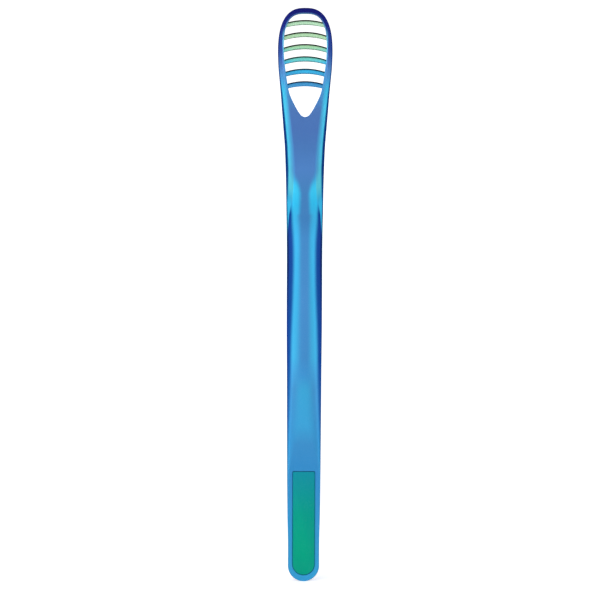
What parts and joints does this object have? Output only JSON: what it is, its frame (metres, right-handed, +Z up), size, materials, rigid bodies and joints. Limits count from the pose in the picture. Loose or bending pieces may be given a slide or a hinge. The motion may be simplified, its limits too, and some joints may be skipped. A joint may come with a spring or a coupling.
{
  "type": "tongue cleaner",
  "caption": "Slim moulded tongue cleaner: a bowed handle with a ribbed thumb grip, an open rounded head crossed by arched scraper blades, and a bare label plate.",
  "frame": {"origin": "at the height of the tail's lowest point, on the middle plane of the width and at mid depth of the tail", "axes": "+Z runs up the handle to the head, +X is the width, the blades and the thumb ribs face -Y and the flat back with the label plate faces +Y"},
  "size_m": [0.019, 0.0101, 0.2],
  "materials": {
    "handle_plastic": "glossy pearlescent blue moulding",
    "blade_plastic": "glossy pearlescent blue, cyan to pale green in the light",
    "grip_plastic": "glossy blue, ribbed",
    "label_plastic": "satin teal, bare"
  },
  "bodies": {
    "root": {"handle_frame": "handle_plastic", "scraper_blade_1": "blade_plastic", "scraper_blade_2": "blade_plastic", "scraper_blade_3": "blade_plastic", "scraper_blade_4": "blade_plastic", "scraper_blade_5": "blade_plastic", "scraper_blade_6": "blade_plastic", "scraper_blade_7": "blade_plastic", "thumb_grip_pad": "grip_plastic", "label_plate": "label_plastic"}
  },
  "joints": []
}
